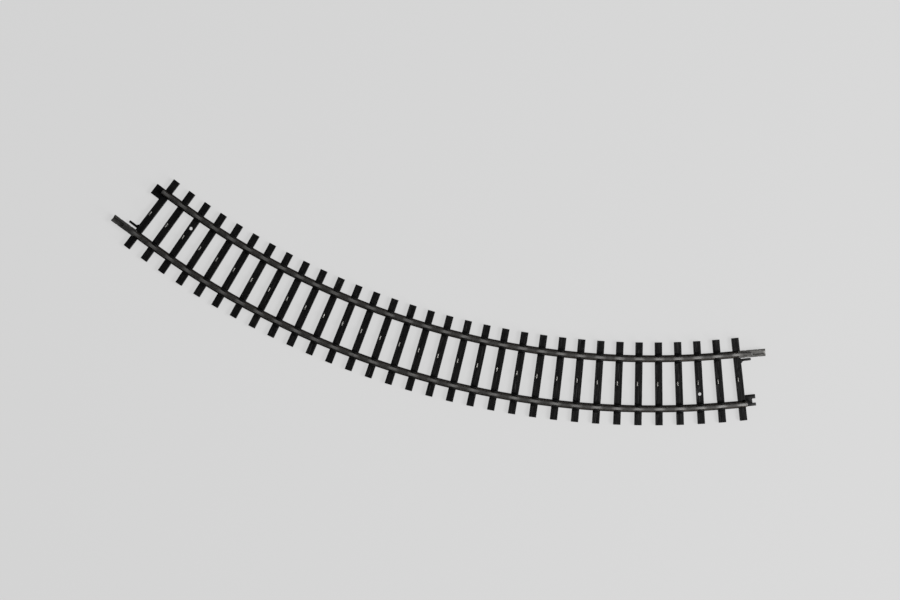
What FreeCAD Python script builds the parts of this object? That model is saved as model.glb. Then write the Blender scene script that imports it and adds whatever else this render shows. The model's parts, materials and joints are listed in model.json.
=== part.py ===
import FreeCAD, Part
import math
import os
import Sketcher

# Curved H0 track section with three conductors: two running rails and a row of
# contact studs along the middle.  Millimetres, +Z up, underside of the sleepers
# at Z = 0, chord of the curve along X, centre of the curve on the +Y side.
# The origin lies midway between the two fixing screw holes.
#
# Every end has one male and one female side.  Looking outward along the track,
# the left-hand rail is male: it is longer and carries a folded joiner, with a
# contact tongue beside it.  The right-hand rail is female: it is shorter and
# ends over a block with a pocket that takes the next section's tongue.

DIMENSIONS = [
    ("track_radius", 295.4, "centreline radius"),
    ("section_angle", 45, "eight sections make a circle"),
    ("sleeper_count", 32, "sleepers in one section"),
    ("sleeper_length", 29.8, "across the track"),
    ("sleeper_width", 2.65, "along the track"),
    ("sleeper_top", 2.2, "height of the sleepers"),
    ("rail_offset", 9.0, "centreline to rail centre"),
    ("rail_seat", 2.4, "height of the underside of the rail"),
    ("rail_height", 2.5, "foot to running surface"),
    ("foot_width", 1.9, "rail foot"),
    ("foot_thickness", 0.4, "rail foot"),
    ("web_width", 0.5, "rail web"),
    ("web_fillet", 0.1, "corner between foot and web"),
    ("head_width", 1.2, "rail head"),
    ("head_side", 1.75, "rail underside to the lower edge of the head"),
    ("head_under", 1.55, "rail underside to the top of the web"),
    ("head_chamfer", 0.15, "worn corner of the head"),
    ("male_rail_end", 5.35, "end sleeper centre to the end of the long rail"),
    ("female_rail_end", 1.85, "end sleeper centre to the end of the short rail"),
    ("beam_width", 2.6, "moulded beam under each rail"),
    ("chair_length", 1.9, "rail chair, along the track"),
    ("plate_width", 4.0, "tie plate under a chair, across the track"),
    ("plate_root", 2.1, "how deep a tie plate starts in the sleeper"),
    ("hook_gap", 0.02, "chair hook to rail foot"),
    ("hook_reach", 0.6, "rail centre to the tip of a hook"),
    ("hook_top", 3.05, "top of a hook"),
    ("hook_shoulder", 1.15, "rail centre to the outer top corner of a hook"),
    ("hook_foot", 1.6, "rail centre to the outer foot of a hook"),
    ("hook_step", 2.55, "height of the outer foot of a hook"),
    ("strip_low", 0.4, "underside of the contact strip"),
    ("strip_thickness", 0.3, "contact strip sheet"),
    ("spine_width", 1.2, "contact strip under a rail"),
    ("groove_depth", 0.8, "grooves for the contact strip"),
    ("groove_margin", 0.1, "groove wall to contact strip"),
    ("stud_shift", 0.55, "sleeper centreline to stud, towards the left end"),
    ("stud_thickness", 0.6, "a stud is folded double"),
    ("stud_length", 2.0, "across the track"),
    ("stud_top", 3.4, "height of the stud crowns"),
    ("stud_shoulder", 0.35, "worn corner of a crown"),
    ("arm_width", 1.3, "contact strip arm under a sleeper"),
    ("hole_offset", 4.15, "centreline to screw hole"),
    ("hole_sleeper", 2, "sleepers outside each screw hole"),
    ("hole_diameter", 1.2, "fixing screw hole"),
    ("recess_floor", 2.0, "floor of the joiner recess"),
    ("recess_width", 2.9, "joiner recess"),
    ("recess_start", 4.6, "end sleeper centre back to the start of the recess"),
    ("joiner_start", 0.45, "end sleeper centre to the joiner"),
    ("joiner_length", 9.8, "half on its own rail, half for the next rail"),
    ("joiner_sheet", 0.32, "joiner sheet"),
    ("joiner_gap", 0.05, "joiner to rail foot"),
    ("joiner_slot", 1.0, "slot between the joiner's lips"),
    ("block_end", 5.0, "end sleeper centre to the end of the pocket block"),
    ("block_near", 5.9, "centreline to the pocket block"),
    ("block_far", 10.0, "centreline to the far side of the pocket block"),
    ("pocket_near", 6.2, "centreline to the pocket"),
    ("pocket_far", 8.95, "centreline to the far side of the pocket"),
    ("pocket_roof", 1.6, "underside of the pocket's roof"),
    ("notch_start", 3.8, "end sleeper centre to the open notch in the pocket's roof"),
    ("notch_near", 7.4, "centreline to the notch"),
    ("tongue_near", 6.35, "centreline to the tongue"),
    ("tongue_width", 0.9, "tongue and its contact blade"),
    ("tongue_end", 4.9, "end sleeper centre to the end of the tongue"),
    ("tongue_root", 0.75, "gusset between the tongue and the end sleeper"),
    ("tongue_top", 1.55, "top of the tongue"),
    ("blade_thickness", 0.3, "contact blade under the tongue"),
    ("blade_start", 0.4, "end sleeper centre back to the start of the blade"),
    ("blade_end", 4.75, "end sleeper centre to the end of the blade"),
    ("leaf_start", 1.5, "end sleeper centre to the root of the pocket leaf"),
    ("leaf_length", 2.8, "pocket leaf"),
    ("leaf_sheet", 0.2, "pocket leaf"),
    ("leaf_height", 0.55, "height of the leaf's root"),
    ("leaf_rise", 0.3, "how far the leaf rises towards its bend"),
    ("leaf_bend", 0.45, "length of the turned-down tip"),
    ("leaf_gap", 0.05, "contact strip to the root of the leaf"),
]

DOCUMENT = FreeCAD.newDocument("TrackSection")
SHEET = DOCUMENT.addObject("Spreadsheet::Sheet", "Size")
for row, (alias, number, note) in enumerate(DIMENSIONS, start=1):
    SHEET.set("A%d" % row, alias.replace("_", " "))
    SHEET.set("B%d" % row, str(number))
    SHEET.set("C%d" % row, note)
    SHEET.setAlias("B%d" % row, alias)
DOCUMENT.recompute()

# Expressions in the words of the sheet.
PITCH = "(Size.section_angle / Size.sleeper_count * 1 deg)"
FIRST_SLEEPER = "(-(Size.sleeper_count - 1) / 2 * %s)" % PITCH
SECOND_SLEEPER = "(-(Size.sleeper_count - 3) / 2 * %s)" % PITCH
MIDDLE_SLEEPER = "(-0.5 * %s)" % PITCH
HOLE_ANGLE = "(((Size.sleeper_count - 1) / 2 - Size.hole_sleeper) * %s)" % PITCH
RAIL_END_ANGLE = "((Size.sleeper_count - 3) / 2 * %s)" % PITCH
END_SLEEPER_ANGLE = "((Size.sleeper_count - 1) / 2 * %s)" % PITCH
CURVE_CENTRE_X = "-Size.hole_offset * sin(%s)" % HOLE_ANGLE
CURVE_CENTRE_Y = "Size.track_radius * cos(%s)" % HOLE_ANGLE
STRIP_TOP = "(Size.strip_low + Size.strip_thickness)"
BLADE_TOP = "(%s + Size.blade_thickness)" % STRIP_TOP
STUD_LEFT = "(-Size.stud_shift - Size.stud_thickness / 2)"
HALF_COUNT = "(Size.sleeper_count / 2)"
LONG_ARM = "Size.rail_offset"
SHORT_ARM = "(Size.stud_length / 2)"
FAR = "20"  # deeper than any piece is high, and longer than the fittings at an end
UPRIGHT = 0.01  # largest vertical part of the normal of an upright face
RIGHT = 1
LEFT = -1
SIDE_NAMES = {RIGHT: "right", LEFT: "left"}

# Arms of the contact strip, one under each sleeper and two under the end ones:
# name, place of the first, reach outward and inward, how many, over what angle.
ARMS = [
    ("outer_arm", FIRST_SLEEPER, LONG_ARM, SHORT_ARM, HALF_COUNT, "(%s - 1) * %s" % (HALF_COUNT, PITCH)),
    ("inner_arm", MIDDLE_SLEEPER, SHORT_ARM, LONG_ARM, HALF_COUNT + " + 1", "%s * %s" % (HALF_COUNT, PITCH)),
    ("left_cross_arm", FIRST_SLEEPER, SHORT_ARM, LONG_ARM, None, None),
    ("right_cross_arm", END_SLEEPER_ANGLE, LONG_ARM, SHORT_ARM, None, None),
]


def end_sleeper(side, across="0"):
    """From the second sleeper to the end one, measured at a distance across."""
    sign = "-" if side == RIGHT else "+"
    return "((Size.track_radius %s (%s)) * sin(%s))" % (sign, across, PITCH)


def new_body(name):
    """A piece whose own origin is the centre of the curve."""
    body = DOCUMENT.addObject("PartDesign::Body", name)
    body.Label = name
    body.AllowCompound = True
    body.setExpression("Placement.Base.x", CURVE_CENTRE_X)
    body.setExpression("Placement.Base.y", CURVE_CENTRE_Y)
    return body


def new_end_body(name, side, angle, along, across):
    """A piece at one end: its X points outward, square to the track at an angle round the curve."""
    body = DOCUMENT.addObject("PartDesign::Body", name)
    body.Label = name
    sine = "sin(%s)" % angle
    cosine = "cos(%s)" % angle
    if side == RIGHT:
        radius = "(Size.track_radius - (%s))" % across
        x_place = "%s + %s * %s + (%s) * %s" % (CURVE_CENTRE_X, radius, sine, along, cosine)
        turn = angle
    else:
        radius = "(Size.track_radius + (%s))" % across
        x_place = "%s - %s * %s - (%s) * %s" % (CURVE_CENTRE_X, radius, sine, along, cosine)
        turn = "(180 deg - %s)" % angle
    y_place = "%s - %s * %s + (%s) * %s" % (CURVE_CENTRE_Y, radius, cosine, along, sine)
    body.setExpression("Placement.Base.x", x_place)
    body.setExpression("Placement.Base.y", y_place)
    body.Placement = FreeCAD.Placement(FreeCAD.Vector(), FreeCAD.Rotation(FreeCAD.Vector(0, 0, 1), 1))
    body.setExpression("Placement.Rotation.Angle", turn)
    return body


def origin_feature(body, role):
    for feature in body.Origin.OriginFeatures:
        if feature.Role == role:
            return feature
    raise ValueError("no origin feature " + role)


def new_sketch(body, name, role):
    sketch = body.newObject("Sketcher::SketchObject", body.Name + "_" + name + "_sketch")
    sketch.AttachmentSupport = (origin_feature(body, role), "")
    sketch.MapMode = "FlatFace"
    return sketch


def new_radial_sketch(body, name, angle, shift="0"):
    """A cross-section at an angle round the curve, shifted along the track there."""
    sketch = new_sketch(body, name, "YZ_Plane")
    sketch.AttachmentOffset = FreeCAD.Placement(
        FreeCAD.Vector(), FreeCAD.Rotation(FreeCAD.Vector(0, 1, 0), 1))
    sketch.setExpression("AttachmentOffset.Rotation.Angle", angle)
    sketch.setExpression("AttachmentOffset.Base.z", "%s * cos(%s)" % (shift, angle))
    sketch.setExpression("AttachmentOffset.Base.x", "%s * sin(%s)" % (shift, angle))
    return sketch


def new_plan_sketch(body, name, angle, height="0"):
    """A plan of one sleeper, at an angle round the curve."""
    sketch = new_sketch(body, name, "XY_Plane")
    sketch.AttachmentOffset = FreeCAD.Placement(
        FreeCAD.Vector(), FreeCAD.Rotation(FreeCAD.Vector(0, 0, 1), 1))
    sketch.setExpression("AttachmentOffset.Rotation.Angle", angle)
    sketch.setExpression("AttachmentOffset.Base.z", height)
    return sketch


def new_end_sketch(body, name, side, angle, height="0"):
    """A plan of one end: X outward from an angle round the curve, Y towards the male rail."""
    sketch = new_sketch(body, name, "XY_Plane")
    sketch.AttachmentOffset = FreeCAD.Placement(
        FreeCAD.Vector(), FreeCAD.Rotation(FreeCAD.Vector(0, 0, 1), 1))
    if side == RIGHT:
        sketch.setExpression("AttachmentOffset.Base.x", "Size.track_radius * sin(%s)" % angle)
        sketch.setExpression("AttachmentOffset.Rotation.Angle", angle)
    else:
        sketch.setExpression("AttachmentOffset.Base.x", "-Size.track_radius * sin(%s)" % angle)
        sketch.setExpression("AttachmentOffset.Rotation.Angle", "180 deg - %s" % angle)
    sketch.setExpression("AttachmentOffset.Base.y", "-Size.track_radius * cos(%s)" % angle)
    sketch.setExpression("AttachmentOffset.Base.z", height)
    return sketch


def add_outline(sketch, corners):
    """A closed outline; every corner is a pair of expressions."""
    first = sketch.GeometryCount
    count = len(corners)
    turn = 2 * math.pi / count
    start = [FreeCAD.Vector(math.cos(turn * k), math.sin(turn * k), 0) for k in range(count)]
    for k in range(count):
        sketch.addGeometry(Part.LineSegment(start[k], start[(k + 1) % count]), False)
    for k in range(count):
        line = first + k
        following = first + (k + 1) % count
        sketch.addConstraint(Sketcher.Constraint("Coincident", line, 2, following, 1))
    for k, (x_place, y_place) in enumerate(corners):
        for kind, place, begin in (("DistanceX", x_place, start[k].x), ("DistanceY", y_place, start[k].y)):
            number = sketch.addConstraint(Sketcher.Constraint(kind, -1, 1, first + k, 1, begin))
            sketch.setExpression("Constraints[%d]" % number, place)


def add_rectangle(sketch, x_low, x_high, y_low, y_high):
    add_outline(sketch, [(x_low, y_low), (x_high, y_low), (x_high, y_high), (x_low, y_high)])


def add_circle(sketch, x_place, y_place, diameter):
    circle = sketch.addGeometry(Part.Circle(FreeCAD.Vector(1, 1, 0), FreeCAD.Vector(0, 0, 1), 1), False)
    for kind, place in (("DistanceX", x_place), ("DistanceY", y_place)):
        number = sketch.addConstraint(Sketcher.Constraint(kind, -1, 1, circle, 3, 1))
        sketch.setExpression("Constraints[%d]" % number, place)
    number = sketch.addConstraint(Sketcher.Constraint("Diameter", circle, 2))
    sketch.setExpression("Constraints[%d]" % number, diameter)


def add_feature(body, kind, name, sketch):
    feature = body.newObject("PartDesign::" + kind, body.Name + "_" + name)
    feature.Profile = sketch
    feature.Refine = False
    if not isinstance(sketch, tuple):
        sketch.Visibility = False
    body.Tip = feature
    return feature


def pad(body, name, sketch, length, both_ways=False):
    feature = add_feature(body, "Pad", name, sketch)
    feature.setExpression("Length", length)
    if both_ways:
        feature.SideType = "Symmetric"
    return feature


def pocket(body, name, sketch, length, upward=True):
    feature = add_feature(body, "Pocket", name, sketch)
    feature.setExpression("Length", length)
    feature.Reversed = upward
    return feature


def revolve(body, kind, name, sketch, angle):
    feature = add_feature(body, kind, name, sketch)
    feature.ReferenceAxis = (sketch, ["V_Axis"])
    feature.setExpression("Angle", angle)
    return feature


def repeat(body, name, originals, count, angle):
    """Copies round the curve."""
    pattern = body.newObject("PartDesign::PolarPattern", body.Name + "_" + name)
    pattern.Originals = originals
    pattern.Refine = False
    pattern.Axis = (origin_feature(body, "Z_Axis"), [""])
    pattern.setExpression("Occurrences", count)
    pattern.setExpression("Angle", angle)
    body.Tip = pattern
    return pattern


def mirrored(half):
    """Both halves of a cross-section from the points of its right half."""
    left = [("-(%s)" % across, height) for across, height in reversed(half)]
    return half + left


def shifted(corners, across):
    """A cross-section moved across to a radius, as a radial sketch sees it."""
    return [("-(%s) + (%s)" % (across, x_place), y_place) for x_place, y_place in corners]


def rail_radius(sign):
    return "(Size.track_radius %s Size.rail_offset)" % sign


def rail_outline():
    seat = "Size.rail_seat"
    half = [
        ("Size.foot_width / 2", seat),
        ("Size.foot_width / 2", seat + " + Size.foot_thickness"),
        ("Size.web_width / 2 + Size.web_fillet", seat + " + Size.foot_thickness"),
        ("Size.web_width / 2", seat + " + Size.foot_thickness + Size.web_fillet"),
        ("Size.web_width / 2", seat + " + Size.head_under"),
        ("Size.head_width / 2", seat + " + Size.head_side"),
        ("Size.head_width / 2", seat + " + Size.rail_height - Size.head_chamfer"),
        ("Size.head_width / 2 - Size.head_chamfer", seat + " + Size.rail_height"),
    ]
    return mirrored(half)


def extend_end(body, name, base, side, reach):
    """Straight rail end, square out of the last face of the curve."""
    DOCUMENT.recompute()
    upright = []
    for number, face in enumerate(base.Shape.Faces, start=1):
        flat = isinstance(face.Surface, Part.Plane)
        if flat and abs(face.normalAt(0, 0).z) < UPRIGHT and face.CenterOfMass.x * side > 0:
            upright.append((abs(face.CenterOfMass.x), "Face%d" % number))
    feature = add_feature(body, "Pad", name, (base, [max(upright)[1]]))
    feature.setExpression("Length", reach)
    return feature


def make_rail(name, sign, male_side):
    body = new_body(name)
    sketch = new_radial_sketch(body, "section", SECOND_SLEEPER)
    add_outline(sketch, shifted(rail_outline(), rail_radius(sign)))
    bent = revolve(body, "Revolution", "bent", sketch, "-2 * %s" % SECOND_SLEEPER)
    male_reach = end_sleeper(male_side, "Size.rail_offset") + " + Size.male_rail_end"
    female_reach = end_sleeper(-male_side, "-Size.rail_offset") + " + Size.female_rail_end"
    male = extend_end(body, "male_end", bent, male_side, male_reach)
    extend_end(body, "female_end", male, -male_side, female_reach)
    return body


def ring_section(sketch, sign, width, low, high):
    """A rectangle at the radius of one rail."""
    radius = rail_radius(sign)
    add_rectangle(
        sketch, "-(%s + %s / 2)" % (radius, width), "-(%s - %s / 2)" % (radius, width), low, high)


def chair_outline():
    """A tie plate with a hook on each side of the rail foot."""
    plate = "Size.rail_seat"
    hook_under = plate + " + Size.foot_thickness + Size.hook_gap"
    foot_side = "Size.foot_width / 2 + Size.hook_gap"
    half = [
        ("Size.plate_width / 2", "Size.plate_root"),
        ("Size.plate_width / 2", plate),
        ("Size.hook_foot", plate),
        ("Size.hook_foot", "Size.hook_step"),
        ("Size.hook_shoulder", "Size.hook_top"),
        ("Size.hook_reach", "Size.hook_top"),
        ("Size.hook_reach", hook_under),
        (foot_side, hook_under),
        (foot_side, plate),
    ]
    return mirrored(half)


def sleeper_plan(body, name, angle):
    plan = new_plan_sketch(body, name, angle)
    add_rectangle(
        plan, "-Size.sleeper_width / 2", "Size.sleeper_width / 2",
        "-(Size.track_radius + Size.sleeper_length / 2)", "-(Size.track_radius - Size.sleeper_length / 2)")
    return pad(body, name, plan, "Size.sleeper_top")


def add_sleepers(body):
    """Every sleeper but the end ones, with a chair on each beam."""
    sleeper = sleeper_plan(body, "sleeper", SECOND_SLEEPER)
    section = new_radial_sketch(body, "chair", SECOND_SLEEPER)
    for sign in "-+":
        add_outline(section, shifted(chair_outline(), rail_radius(sign)))
    chair = pad(body, "chair", section, "Size.chair_length", both_ways=True)
    repeat(body, "sleepers", [sleeper, chair], "Size.sleeper_count - 2", "-2 * %s" % SECOND_SLEEPER)


def add_end(body, side):
    """End sleeper, straight beams, pocket block and tongue."""
    name = SIDE_NAMES[side]
    sleeper_plan(body, name + "_end_sleeper", "%d * %s" % (-side, FIRST_SLEEPER))
    beams = new_end_sketch(body, name + "_beams", side, RAIL_END_ANGLE)
    for sign in "-+":
        centre = sign + "Size.rail_offset"
        add_rectangle(
            beams, "-Size.chair_length / 2", end_sleeper(side, centre),
            centre + " - Size.beam_width / 2", centre + " + Size.beam_width / 2")
    pad(body, name + "_beams", beams, "Size.rail_seat")
    block = new_end_sketch(body, name + "_block", side, END_SLEEPER_ANGLE)
    add_rectangle(block, "0", "Size.block_end", "-Size.block_far", "-Size.block_near")
    pad(body, name + "_block", block, "Size.recess_floor")
    tongue = new_end_sketch(body, name + "_tongue", side, END_SLEEPER_ANGLE, BLADE_TOP)
    root = "Size.tongue_near - Size.tongue_root"
    face = "Size.sleeper_width / 2"
    add_outline(tongue, [
        ("0", root),
        (face, root),
        (face + " + Size.tongue_root", "Size.tongue_near"),
        ("Size.tongue_end", "Size.tongue_near"),
        ("Size.tongue_end", "Size.tongue_near + Size.tongue_width"),
        ("0", "Size.tongue_near + Size.tongue_width"),
    ])
    pad(body, name + "_tongue", tongue, "Size.tongue_top - (%s)" % BLADE_TOP)


def cut_end(body, side):
    """Joiner recesses, the pocket, notched at the right end only, and the ways for the contacts."""
    name = SIDE_NAMES[side]
    recess = new_end_sketch(body, name + "_recess", side, RAIL_END_ANGLE, "Size.recess_floor")
    for sign in "-+":
        centre = sign + "Size.rail_offset"
        reach = end_sleeper(side, centre)
        add_rectangle(
            recess, reach + " - Size.recess_start", reach + " + " + FAR,
            centre + " - Size.recess_width / 2", centre + " + Size.recess_width / 2")
    pocket(body, name + "_recess", recess, FAR)
    cavity = new_end_sketch(body, name + "_cavity", side, END_SLEEPER_ANGLE)
    add_rectangle(cavity, "Size.sleeper_width / 2", FAR, "-Size.pocket_far", "-Size.pocket_near")
    pocket(body, name + "_cavity", cavity, "Size.pocket_roof")
    if side == RIGHT:
        notch = new_end_sketch(body, name + "_notch", side, END_SLEEPER_ANGLE)
        add_rectangle(notch, "Size.notch_start", FAR, "-Size.pocket_far", "-Size.notch_near")
        pocket(body, name + "_notch", notch, FAR)
    near = "Size.tongue_near - Size.groove_margin"
    far = "Size.tongue_near + Size.tongue_width + Size.groove_margin"
    tab = new_end_sketch(body, name + "_tab_way", side, END_SLEEPER_ANGLE)
    add_rectangle(tab, "0", "Size.sleeper_width", "-(%s)" % far, "-(%s)" % near)
    pocket(body, name + "_tab_way", tab, "Size.groove_depth")
    blade = new_end_sketch(body, name + "_blade_way", side, END_SLEEPER_ANGLE)
    add_rectangle(blade, "-Size.blade_start - Size.groove_margin", "Size.sleeper_width", near, far)
    pocket(body, name + "_blade_way", blade, BLADE_TOP)


def cut_sleepers(body):
    """Slots for the studs and, underneath, grooves for the contact strip."""
    slots = new_plan_sketch(body, "slot", FIRST_SLEEPER)
    add_rectangle(
        slots, STUD_LEFT + " - Size.groove_margin", STUD_LEFT + " + Size.stud_thickness + Size.groove_margin",
        "-(Size.track_radius + Size.stud_length / 2 + Size.groove_margin)",
        "-(Size.track_radius - Size.stud_length / 2 - Size.groove_margin)")
    slot = pocket(body, "slot", slots, FAR)
    repeat(body, "slots", [slot], "Size.sleeper_count", "-2 * %s" % FIRST_SLEEPER)
    for name, angle, outward, inward, count, swing in ARMS:
        plan = new_plan_sketch(body, name + "_groove", angle)
        add_rectangle(
            plan, STUD_LEFT + " - Size.groove_margin", STUD_LEFT + " + Size.arm_width + Size.groove_margin",
            "-(Size.track_radius + %s + Size.groove_margin)" % outward,
            "-(Size.track_radius - %s - Size.groove_margin)" % inward)
        groove = pocket(body, name + "_groove", plan, "Size.groove_depth")
        if count:
            repeat(body, name + "_grooves", [groove], count, swing)


def cut_spine_grooves(body):
    rings = new_radial_sketch(body, "spine_groove", FIRST_SLEEPER)
    for sign in "-+":
        width = "(Size.spine_width + 2 * Size.groove_margin)"
        ring_section(rings, sign, width, "-" + FAR, "Size.groove_depth")
    revolve(body, "Groove", "spine_groove", rings, "-2 * %s" % FIRST_SLEEPER)


def drill_screw_holes(body):
    for name, angle, radius in (
            ("left_hole", "-" + HOLE_ANGLE, "Size.track_radius - Size.hole_offset"),
            ("right_hole", HOLE_ANGLE, "Size.track_radius + Size.hole_offset")):
        plan = new_plan_sketch(body, name, angle)
        add_circle(plan, "0", "-(%s)" % radius, "Size.hole_diameter")
        pocket(body, name, plan, FAR)


def make_bed():
    """One black moulding that holds everything else."""
    body = new_body("sleeper_bed")
    section = new_radial_sketch(body, "beams", SECOND_SLEEPER)
    for sign in "-+":
        ring_section(section, sign, "Size.beam_width", "0", "Size.rail_seat")
    revolve(body, "Revolution", "beams", section, "-2 * %s" % SECOND_SLEEPER)
    for side in SIDE_NAMES:
        add_end(body, side)
        cut_end(body, side)
    add_sleepers(body)
    cut_spine_grooves(body)
    drill_screw_holes(body)
    cut_sleepers(body)
    return body


def make_contact_strip():
    """One stamping: a spine that changes rails at mid-length, arms and folded studs."""
    body = new_body("centre_contact_strip")
    outer = new_radial_sketch(body, "outer_spine", FIRST_SLEEPER)
    ring_section(outer, "+", "Size.spine_width", "Size.strip_low", STRIP_TOP)
    revolve(body, "Revolution", "outer_spine", outer, "(%s - 1) * %s" % (HALF_COUNT, PITCH))
    inner = new_radial_sketch(body, "inner_spine", MIDDLE_SLEEPER)
    ring_section(inner, "-", "Size.spine_width", "Size.strip_low", STRIP_TOP)
    revolve(body, "Revolution", "inner_spine", inner, "%s * %s" % (HALF_COUNT, PITCH))
    for name, angle, outward, inward, count, swing in ARMS:
        plan = new_plan_sketch(body, name, angle, "Size.strip_low")
        add_rectangle(
            plan, STUD_LEFT, STUD_LEFT + " + Size.arm_width",
            "-(Size.track_radius + %s)" % outward, "-(Size.track_radius - %s)" % inward)
        arm = pad(body, name, plan, "Size.strip_thickness")
        if count:
            repeat(body, name + "s", [arm], count, swing)
    section = new_radial_sketch(body, "stud", FIRST_SLEEPER, "(-Size.stud_shift)")
    half = [
        ("Size.stud_length / 2", "Size.strip_low"),
        ("Size.stud_length / 2", "Size.stud_top - Size.stud_shoulder"),
        ("Size.stud_length / 2 - Size.stud_shoulder", "Size.stud_top"),
    ]
    add_outline(section, shifted(mirrored(half), "Size.track_radius"))
    stud = pad(body, "stud", section, "Size.stud_thickness", both_ways=True)
    repeat(body, "studs", [stud], "Size.sleeper_count", "-2 * %s" % FIRST_SLEEPER)
    for side in SIDE_NAMES:
        tab = new_end_sketch(
            body, SIDE_NAMES[side] + "_tab", side, END_SLEEPER_ANGLE, "Size.strip_low")
        add_rectangle(
            tab, "0", "Size.leaf_start - Size.leaf_gap",
            "-(Size.tongue_near + Size.tongue_width)", "-Size.tongue_near")
        pad(body, SIDE_NAMES[side] + "_tab", tab, "Size.strip_thickness")
    return body


def make_joiner(side):
    """Sheet folded round the foot of the male rail, with a slot for the rail's web."""
    start = end_sleeper(side, "Size.rail_offset") + " + Size.joiner_start"
    body = new_end_body(
        SIDE_NAMES[side] + "_rail_joiner", side, RAIL_END_ANGLE, start, "Size.rail_offset")
    section = new_sketch(body, "section", "YZ_Plane")
    inside = "Size.foot_width / 2 + Size.joiner_gap"
    floor = "Size.rail_seat - Size.joiner_gap"
    ceiling = "Size.rail_seat + Size.foot_thickness + Size.joiner_gap"
    half = [
        (inside + " + Size.joiner_sheet", floor + " - Size.joiner_sheet"),
        (inside + " + Size.joiner_sheet", ceiling + " + Size.joiner_sheet"),
        ("Size.joiner_slot / 2", ceiling + " + Size.joiner_sheet"),
        ("Size.joiner_slot / 2", ceiling),
        (inside, ceiling),
        (inside, floor),
    ]
    add_outline(section, mirrored(half))
    pad(body, "sheet", section, "Size.joiner_length")
    return body


def make_tongue_blade(side):
    """Contact strip end that lies under the moulded tongue."""
    name = SIDE_NAMES[side] + "_tongue_blade"
    middle = "Size.tongue_near + Size.tongue_width / 2"
    body = new_end_body(name, side, END_SLEEPER_ANGLE, "-Size.blade_start", middle)
    plan = new_sketch(body, "plan", "XY_Plane")
    plan.setExpression("AttachmentOffset.Base.z", STRIP_TOP)
    length = "(Size.blade_start + Size.blade_end)"
    add_outline(plan, [
        ("0", "-Size.tongue_width / 2"),
        (length + " - Size.tongue_width / 2", "-Size.tongue_width / 2"),
        (length, "-Size.tongue_width / 4"),
        (length, "Size.tongue_width / 4"),
        (length + " - Size.tongue_width / 2", "Size.tongue_width / 2"),
        ("0", "Size.tongue_width / 2"),
    ])
    pad(body, "blade", plan, "Size.blade_thickness")
    return body


def make_pocket_leaf(side):
    """Springy leaf that the next section's blade presses down."""
    name = SIDE_NAMES[side] + "_pocket_leaf"
    middle = "-(Size.tongue_near + Size.tongue_width / 2)"
    body = new_end_body(name, side, END_SLEEPER_ANGLE, "Size.leaf_start", middle)
    profile = new_sketch(body, "profile", "XZ_Plane")
    bend = "Size.leaf_length - Size.leaf_bend"
    line = [
        ("0", "Size.leaf_height"),
        (bend, "Size.leaf_height + Size.leaf_rise"),
        ("Size.leaf_length", "Size.leaf_height + Size.leaf_rise / 2"),
    ]
    under = [(along, height + " - Size.leaf_sheet / 2") for along, height in line]
    over = [(along, height + " + Size.leaf_sheet / 2") for along, height in reversed(line)]
    add_outline(profile, under + over)
    pad(body, "leaf", profile, "Size.tongue_width", both_ways=True)
    return body


def check_document():
    failed = []
    for item in DOCUMENT.Objects:
        if "Invalid" in item.State or "Error" in item.State:
            failed.append(item.Name)
    if failed:
        raise RuntimeError("failed: " + ", ".join(failed))


def check_bodies(bodies):
    for body in bodies:
        if body.Shape.isNull() or not body.Shape.isValid():
            raise RuntimeError("no valid shape: " + body.Label)
        if len(body.Shape.Solids) != 1:
            raise RuntimeError("%s has %d solids" % (body.Label, len(body.Shape.Solids)))
        print("%-24s %9.3f mm3" % (body.Label, body.Shape.Volume))


def main():
    bodies = [
        make_bed(),
        make_rail("inner_rail", "-", RIGHT),
        make_rail("outer_rail", "+", LEFT),
        make_contact_strip(),
    ]
    for side in SIDE_NAMES:
        bodies.append(make_joiner(side))
        bodies.append(make_tongue_blade(side))
        bodies.append(make_pocket_leaf(side))
    DOCUMENT.recompute()
    check_document()
    check_bodies(bodies)
    os.makedirs("parts", exist_ok=True)
    for body in bodies:
        body.Shape.exportStep("parts/%s.step" % body.Label)


main()
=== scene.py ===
import bmesh
import bpy
import json
import math
from mathutils import Matrix, Vector, noise

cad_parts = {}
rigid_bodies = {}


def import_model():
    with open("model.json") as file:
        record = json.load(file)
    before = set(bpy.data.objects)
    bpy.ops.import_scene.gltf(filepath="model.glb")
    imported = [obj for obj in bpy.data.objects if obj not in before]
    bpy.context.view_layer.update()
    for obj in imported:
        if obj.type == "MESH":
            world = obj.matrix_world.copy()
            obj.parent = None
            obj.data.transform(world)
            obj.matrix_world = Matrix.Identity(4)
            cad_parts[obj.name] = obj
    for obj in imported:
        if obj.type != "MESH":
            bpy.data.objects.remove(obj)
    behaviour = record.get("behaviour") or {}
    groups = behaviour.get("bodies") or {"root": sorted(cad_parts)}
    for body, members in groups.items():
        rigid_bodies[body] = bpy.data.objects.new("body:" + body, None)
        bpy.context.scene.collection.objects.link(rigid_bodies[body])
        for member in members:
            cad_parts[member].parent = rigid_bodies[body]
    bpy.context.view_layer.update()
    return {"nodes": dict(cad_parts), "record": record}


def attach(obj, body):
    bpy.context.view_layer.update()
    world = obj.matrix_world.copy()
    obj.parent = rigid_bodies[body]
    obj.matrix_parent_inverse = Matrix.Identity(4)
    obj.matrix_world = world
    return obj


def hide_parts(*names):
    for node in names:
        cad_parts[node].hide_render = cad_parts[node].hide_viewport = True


bpy.data.batch_remove(list(bpy.data.objects))
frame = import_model()

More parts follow.
